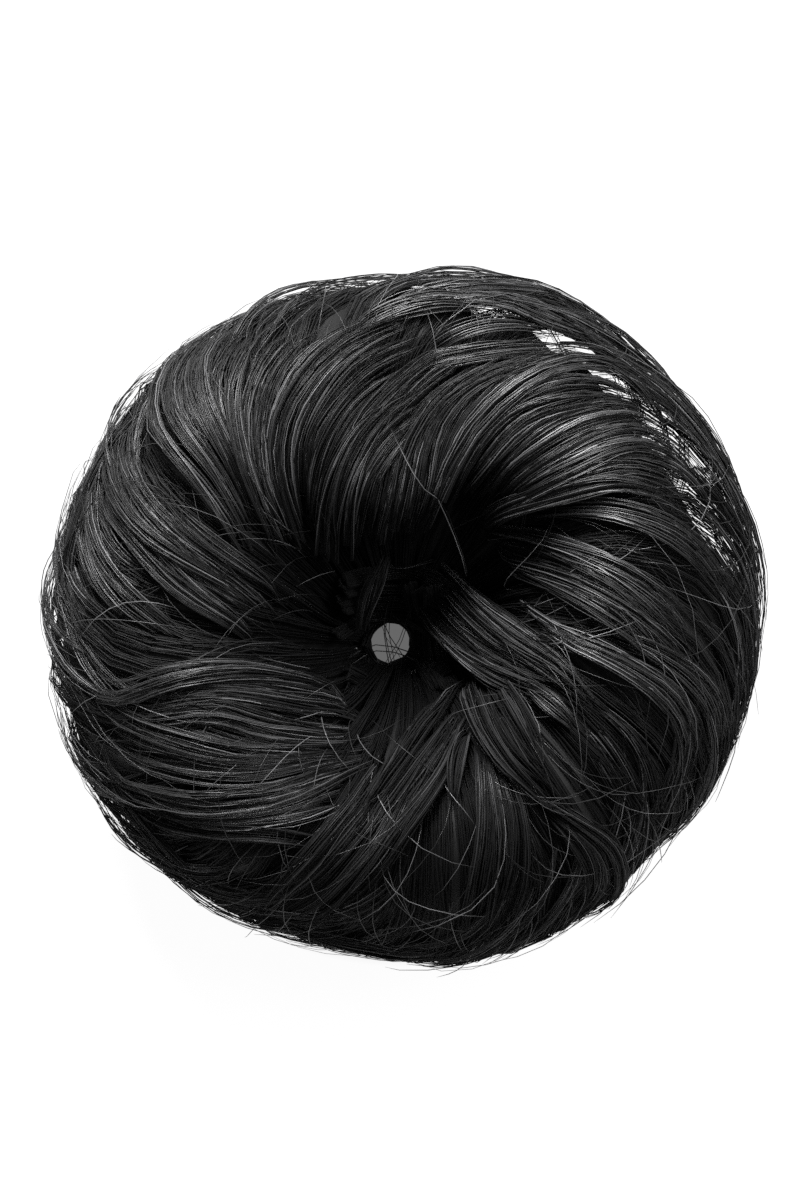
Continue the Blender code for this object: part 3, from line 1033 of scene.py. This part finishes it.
def wispGuide(row):
    stations = topLooks["stations"]
    ways = [k / (stations - 1) for k in range(stations)]
    rises = [math.sin(math.pi * t) ** 0.6 for t in ways]
    shape = topLooks["shapes"][row.shape]
    widths = [row.halfWidth / 1000 * alongKeys(t, shape) for t in ways]
    depths = [topLooks["halfDepth"] * (0.4 + 0.6 * rise) for rise in rises]
    loose = [0.3 + 0.9 * t for t in ways]
    if row.bridge or len(row.points[0]) == 3:
        points = bridgedPoints(row) if row.bridge else row.points
        return Guide(*throughAir(points, stations), widths, depths, loose)
    angles, azimuths, walked = [], [], 0.0
    for k, point in enumerate(row.points):
        angle, azimuth = onHair(*point)
        if k:
            walked += math.dist(point, row.points[k - 1])
            azimuth += 360 * round((azimuths[-1][1] - azimuth) / 360)
        angles.append((walked, angle))
        azimuths.append((walked, azimuth))
    spots = []
    for t, rise in zip(ways, rises):
        angle, azimuth = alongKeys(t * walked, angles), alongKeys(t * walked, azimuths)
        lift = row.lift / 1000 * rise - topLooks["sunk"] * (1 - rise)
        spots.append((angle, azimuth, coverLift(angle, azimuth, True) + lift))
    return guideThrough(spots, widths, depths, loose)


def guideBetween(one, other):
    # a lower wisp that fills the gap between two neighbours
    middle = Guide(*([(a + b) / 2 for a, b in zip(*fields)] for fields in zip(one, other)))
    points = [point - out * topLooks["fillSunk"] for point, out in zip(middle.points, middle.out)]
    return middle._replace(points=points)


def topGuides(rows, rng):
    whole = []
    for row in rows:
        length = math.dist(row.points[0][:2], row.points[-1][:2])
        whole.append((wispGuide(row), row.parts, min(length / 80000, 0.002)))
    for k in range(len(rows) - 1):
        one, other = rows[k].points, rows[k + 1].points
        starts, ends = math.dist(one[0][:2], other[0][:2]), math.dist(one[-1][:2], other[-1][:2])
        if starts < topLooks["nearStarts"] and ends < topLooks["nearEnds"]:
            parts = (rows[k].parts + rows[k + 1].parts + 1) // 2
            whole.append((guideBetween(whole[k][0], whole[k + 1][0]), parts, whole[k][2]))
    guides = []
    for guide, parts, rootDepth in whole:
        count = parts * topLooks["partsMore"]
        guides += splitGuide(guide, count, rng, topLooks["ragged"], rootDepth)
    return guides


for seed, (name, rows, hair) in enumerate((
    ("left", leftWisps, litHairOnTop),
    ("bottom", bottomWisps, hairInLowerShade),
    ("right", rightWisps, litHairOnTop),
    ("upper", upperWisps, litHairOnTop),
)):
    guides = topGuides(rows, rng)
    grown = grow(f"top_wisps_{name}", guides, topLooks, hair, 300 + seed)
    triangles += grown
    print("top wisps", name, "grown,", grown, "triangles")


# Hair that runs along the rim, some of it in loops that stand off

rimLooks = {
    "strands": 14,
    "wraps": 70,
    "angles": (-4, 40),
    "spans": (20, 46),  # degrees of azimuth
    "strandWidth": 0.00022,
    "wander": 0.0022,
    "strays": 0.0050,
    "curlSize": 0.022,
    "shortest": 0.55,
    "halfWidth": (0.0008, 0.0026),
    "halfDepth": (0.0004, 0.0010),
    "stations": 14,
}

# fromAzimuth to toAzimuth clockwise, bulge in millimetres past the rim's hair
Loop = namedtuple("Loop", "fromAzimuth toAzimuth angle bulge")
rimLoops = (
    Loop(98, 50, 26, 1.6),
    Loop(92, 58, 12, 2.6),
    Loop(84, 34, 18, 2.2),
    Loop(72, 22, 24, 1.4),
    Loop(66, 30, 12, 2.8),
    Loop(56, 8, 20, 1.6),
    Loop(44, -2, 26, 1.0),
    Loop(36, -10, 14, 1.8),
    Loop(18, -26, 20, 1.6),
    Loop(124, 88, 14, 2.4),
    Loop(116, 80, 22, 1.8),
    Loop(158, 128, 16, 2.0),
    Loop(190, 164, 16, 2.2),
    Loop(200, 168, 24, 2.8),
    Loop(222, 190, 20, 2.0),
    Loop(238, 206, 16, 1.8),
    Loop(-16, -46, 18, 2.0),
    Loop(-64, -94, 20, 1.4),
)


def rimGuide(row, rng):
    spots, widths, depths, loose = [], [], [], []
    halfWidth = rng.uniform(*rimLooks["halfWidth"])
    halfDepth = rng.uniform(*rimLooks["halfDepth"])
    for k in range(rimLooks["stations"]):
        t = k / (rimLooks["stations"] - 1)
        azimuth = row.fromAzimuth + (row.toAzimuth - row.fromAzimuth) * t
        angle = row.angle + 34 * (1 - t) ** 2.2 - 12 * t * t
        off = row.bulge / 1000 * abs(math.sin(math.pi * min(1.15 * t, 1.0))) ** 0.8
        lift = coverLift(angle, azimuth, True) + off - 0.0012 * (1 - min(5 * t, 1))
        spots.append((angle, azimuth, lift))
        widths.append(halfWidth * (0.5 + t))
        depths.append(halfDepth)
        loose.append(0.3 + 1.2 * t)
    return guideThrough(spots, widths, depths, loose)


guides = [rimGuide(row, rng) for row in rimLoops]
for _ in range(rimLooks["wraps"]):
    azimuth = rng.uniform(0, 360)
    reach = rng.uniform(*rimLooks["spans"])
    angle = rng.uniform(*rimLooks["angles"])
    guides.append(rimGuide(Loop(azimuth, azimuth - reach, angle, rng.uniform(-0.8, 0.4)), rng))
triangles += grow("rim_wisps", guides, rimLooks, litHairOnTop, 320)
print("rim wisps grown,", triangles, "triangles")


# Hairs that cross the hole and its mouth in the air, held at both ends

acrossHoleLooks = {
    "strands": 1,
    "strandWidth": 0.00022,
    "wander": 0.0012,
    "strays": 0.0020,
    "curlSize": 0.012,
    "shortest": 0.95,
    "halfDepth": 0.0006,
    "stations": 9,
}

# each point is a photo pixel and a height in millimetres
Crossing = namedtuple("Crossing", "halfWidth hairs points")
crossings = (
    Crossing(0.3, 2, ((392, 430, 60), (420, 485, 58), (440, 502, 52), (455, 535, 46),
         (468, 580, 44))),
    Crossing(0.3, 1, ((452, 530, 34), (475, 518, 37), (498, 508, 42))),
    Crossing(0.4, 2, ((510, 468, 46), (525, 495, 47), (522, 532, 45))),
    Crossing(0.3, 1, ((488, 540, 41), (515, 538, 44), (545, 548, 48))),
    Crossing(0.3, 2, ((382, 566, 24), (405, 568, 26), (436, 560, 30))),
    Crossing(0.6, 2, ((372, 590, 20), (386, 634, 14), (404, 660, 14), (420, 694, 24))),
    Crossing(0.6, 2, ((414, 600, 20), (402, 636, 14), (388, 660, 14), (366, 690, 22))),
    Crossing(1.6, 3, ((350, 660, 22), (376, 648, 13), (404, 652, 13), (436, 670, 22))),
    Crossing(0.8, 3, ((392, 596, 22), (386, 630, 13), (392, 662, 13), (400, 700, 22))),
)


def crossingGuides(row, rng):
    count = acrossHoleLooks["stations"]
    line, acrosses, outs = throughAir(row.points, count)
    widths, depths = [row.halfWidth / 1000] * count, [acrossHoleLooks["halfDepth"]] * count
    guide = Guide(line, acrosses, outs, widths, depths, [1.0] * count)
    return splitGuide(guide, row.hairs, rng)


# thicker wisps that close in on the hole from its sides
holeEdges = (
    Crossing(2.0, 4, ((344, 590, 30), (378, 585, 17), (412, 586, 17), (450, 606, 30))),
    Crossing(1.8, 5, ((338, 636, 26), (368, 618, 14), (406, 616, 13), (444, 638, 24))),
    Crossing(2.4, 5, ((342, 606, 28), (374, 600, 16), (412, 602, 16), (450, 622, 28))),
    Crossing(1.4, 4, ((350, 598, 24), (380, 593, 14), (412, 594, 14), (446, 612, 26))),
    Crossing(2.0, 4, ((346, 582, 30), (380, 576, 20), (415, 574, 20), (452, 594, 32))),
    Crossing(1.6, 4, ((410, 584, 24), (418, 618, 14), (420, 652, 14), (438, 690, 24))),
    Crossing(1.2, 3, ((418, 590, 26), (427, 620, 16), (430, 655, 16), (444, 690, 26))),
    Crossing(0.9, 2, ((400, 672, 12), (416, 664, 12), (428, 646, 13), (432, 620, 18))),
    Crossing(1.8, 4, ((430, 588, 30), (434, 624, 18), (438, 660, 18), (456, 694, 28))),
    Crossing(1.4, 3, ((348, 596, 26), (362, 626, 14), (364, 660, 14), (350, 694, 26))),
    Crossing(1.4, 3, ((350, 672, 26), (384, 688, 15), (418, 684, 15), (450, 664, 26))),
    Crossing(0.6, 1, ((364, 646, 18), (375, 626, 13), (396, 614, 13))),
    Crossing(0.6, 1, ((390, 614, 13), (408, 628, 13), (416, 648, 16))),
    Crossing(0.8, 2, ((417, 636, 15), (409, 658, 13), (390, 669, 15))),
    Crossing(0.6, 1, ((366, 646, 16), (376, 662, 13), (396, 670, 15))),
)

holeEdgeLooks = {**acrossHoleLooks, "strands": 24, "strandWidth": 0.00048, "shortest": 0.9}

guides = [guide for row in crossings for guide in crossingGuides(row, rng)]
triangles += grow("hairs_across_hole", guides, acrossHoleLooks, litHairOnTop, 340)
guides = [guide for row in holeEdges for guide in crossingGuides(row, rng)]
triangles += grow("wisps_round_hole", guides, holeEdgeLooks, shadedHairBelow, 350)
print("hairs across the hole grown,", triangles, "triangles")


# Single hairs that have come loose: over the crown, out past the rim and in the hole

looseLooks = {
    "strands": 1,
    "crownHairs": 330,
    "rimHairs": 260,
    "holeHairs": 16,
    "strandWidth": 0.00016,
    "wander": 0.0040,
    "strays": 0.0070,
    "curlSize": 0.026,
    "shortest": 0.7,
    "halfSize": 0.0003,
    "stations": 9,
}


def looseHair(head, azimuth, span, swing, highest, tipLift, rng):
    # a hair that follows the swirl at first and then swings away from it
    spots = []
    for k in range(looseLooks["stations"]):
        t = k / (looseLooks["stations"] - 1)
        angle = head - span * t
        here = flowStep(azimuth, head, angle) + swing * t * t
        lift = coverLift(angle, here, True) - 0.0010 * (1 - min(6 * t, 1))
        lift += highest * math.sin(math.pi * t) + tipLift * t**3
        spots.append((angle, here, lift))
    count = len(spots)
    sizes = [looseLooks["halfSize"]] * count
    return guideThrough(spots, sizes, sizes, [0.2 + t / count for t in range(count)])


guides = []
for _ in range(looseLooks["crownHairs"]):
    head = rng.uniform(70, 165)
    swing = rng.choice((-1, 1)) * rng.uniform(4, 34)
    highest = rng.uniform(0.0004, 0.0022)
    tip = rng.uniform(0, 0.0015)
    guides.append(looseHair(head, rng.uniform(0, 360), rng.uniform(30, 75), swing, highest,
                            tip, rng))
for _ in range(looseLooks["rimHairs"]):
    head = rng.uniform(30, 62)
    swing = rng.uniform(-26, 6)
    tip = rng.uniform(0.0002, 0.0042) * rng.random()
    guides.append(looseHair(head, rng.uniform(0, 360), rng.uniform(26, 58), swing, 0.0008,
                            tip, rng))
for _ in range(looseLooks["holeHairs"]):
    head = rng.uniform(140, 176)
    swing = rng.uniform(-50, 50)
    highest = rng.uniform(0.002, 0.009)
    guides.append(looseHair(head, rng.uniform(0, 360), rng.uniform(20, 60), swing, highest,
                            0.0, rng))
triangles += grow("loose_hairs", guides, looseLooks, litHairOnTop, 330)
print("loose hairs grown,", triangles, "triangles")


# Hair that lies close on the wound ring, where the rim is thin and the ring would show

closeLooks = {
    **lockLooks,
    "wisps": 22,
    "strands": 14,
    "azimuths": (-6, 122),
    "fromAngle": 44,
    "toAngle": -60,
    "stations": 7,
    "sweep": 24,
    "lift": (0.0005, 0.0011),
    "width": (0.0030, 0.0055),
    "halfDepth": 0.0003,
}


def closeGuide(rng):
    azimuth, lift = rng.uniform(*closeLooks["azimuths"]), rng.uniform(*closeLooks["lift"])
    width, sweep = rng.uniform(*closeLooks["width"]), closeLooks["sweep"] * rng.uniform(0.6, 1.3)
    fall = closeLooks["fromAngle"] - closeLooks["toAngle"]
    ways = [k / (closeLooks["stations"] - 1) for k in range(closeLooks["stations"])]
    spots = [(closeLooks["fromAngle"] - fall * t, azimuth - sweep * t, lift) for t in ways]
    widths, depths = [width] * len(ways), [closeLooks["halfDepth"]] * len(ways)
    return guideThrough(spots, widths, depths, [0.15 + 0.3 * t for t in ways])


guides = [closeGuide(rng) for _ in range(closeLooks["wisps"])]
triangles += grow("close_hair", guides, closeLooks, shadedHairBelow, 360)
print("close hair grown,", triangles, "triangles")


# Floor and light

stageLooks = {
    "floorColour": (0.15, 0.15, 0.15, 1),
    "floorGlow": 0.96,
    "shadeRadius": (0.045, 0.070),
    "shadeGlow": 0.14,  # share of the glow that is left under the hairpiece
    "worldStrength": 0.17,
    "keyPlace": (-0.22, 1.10, 0.94),
    "keySize": 0.8,
    "keyPower": 43,
    "fillPlace": (0.9, 0.25, 1.2),
    "fillSize": 0.8,
    "fillPower": 7,
}


def areaLight(name, place, target, size, power):
    light = bpy.data.lights.new(name, "AREA")
    light.shape = "DISK"
    light.size = size
    light.energy = power
    lamp = bpy.data.objects.new(name, light)
    lamp.location = place
    lamp.rotation_euler = (Vector(target) - Vector(place)).to_track_quat("-Z", "Y").to_euler()
    bpy.context.scene.collection.objects.link(lamp)


def floorMaterial():
    # a light table that is dimmed under the hairpiece, as the floor there is in shade
    material, g = newMaterial("paleFloor")
    place = g.node("ShaderNodeTexCoord", out="Object")
    middle = g.vector("LENGTH", place)
    middle.socket = middle.socket.node.outputs["Value"]
    inner, outer = stageLooks["shadeRadius"]
    lit = g.maths("MAXIMUM", (middle - inner) / (outer - inner), stageLooks["shadeGlow"])
    lit = g.maths("MINIMUM", lit, 1.0)
    glow = g.mixed(lit, (0, 0, 0, 1), (1, 1, 1, 1))
    g.surface(
        {
            "Base Color": stageLooks["floorColour"],
            "Roughness": 0.9,
            "Specular IOR Level": 0.0,
            "Emission Color": glow,
            "Emission Strength": stageLooks["floorGlow"],
        }
    )
    return material


def stage():
    mesh = bpy.data.meshes.new("floor")
    side = 3.0
    corners = [(-side, -side, 0), (side, -side, 0), (side, side, 0), (-side, side, 0)]
    mesh.from_pydata(corners, [], [(0, 1, 2, 3)])
    floor = bpy.data.objects.new("floor", mesh)
    bpy.context.scene.collection.objects.link(floor)
    mesh.materials.append(floorMaterial())
    world = bpy.data.worlds.new("studio")
    world.use_nodes = True
    sky = world.node_tree.nodes["Background"]
    sky.inputs["Color"].default_value = (1, 1, 1, 1)
    sky.inputs["Strength"].default_value = stageLooks["worldStrength"]
    bpy.context.scene.world = world
    for name in ("key", "fill"):
        place, size, power = (stageLooks[name + part] for part in ("Place", "Size", "Power"))
        areaLight(name, place, (0, 0, 0.03), size, power)


stage()
bpy.context.scene.view_settings.view_transform = "Standard"
bpy.context.scene.cycles.use_denoising = False
print("stage and light set")

print("sizes written,", triangles, "triangles in all")
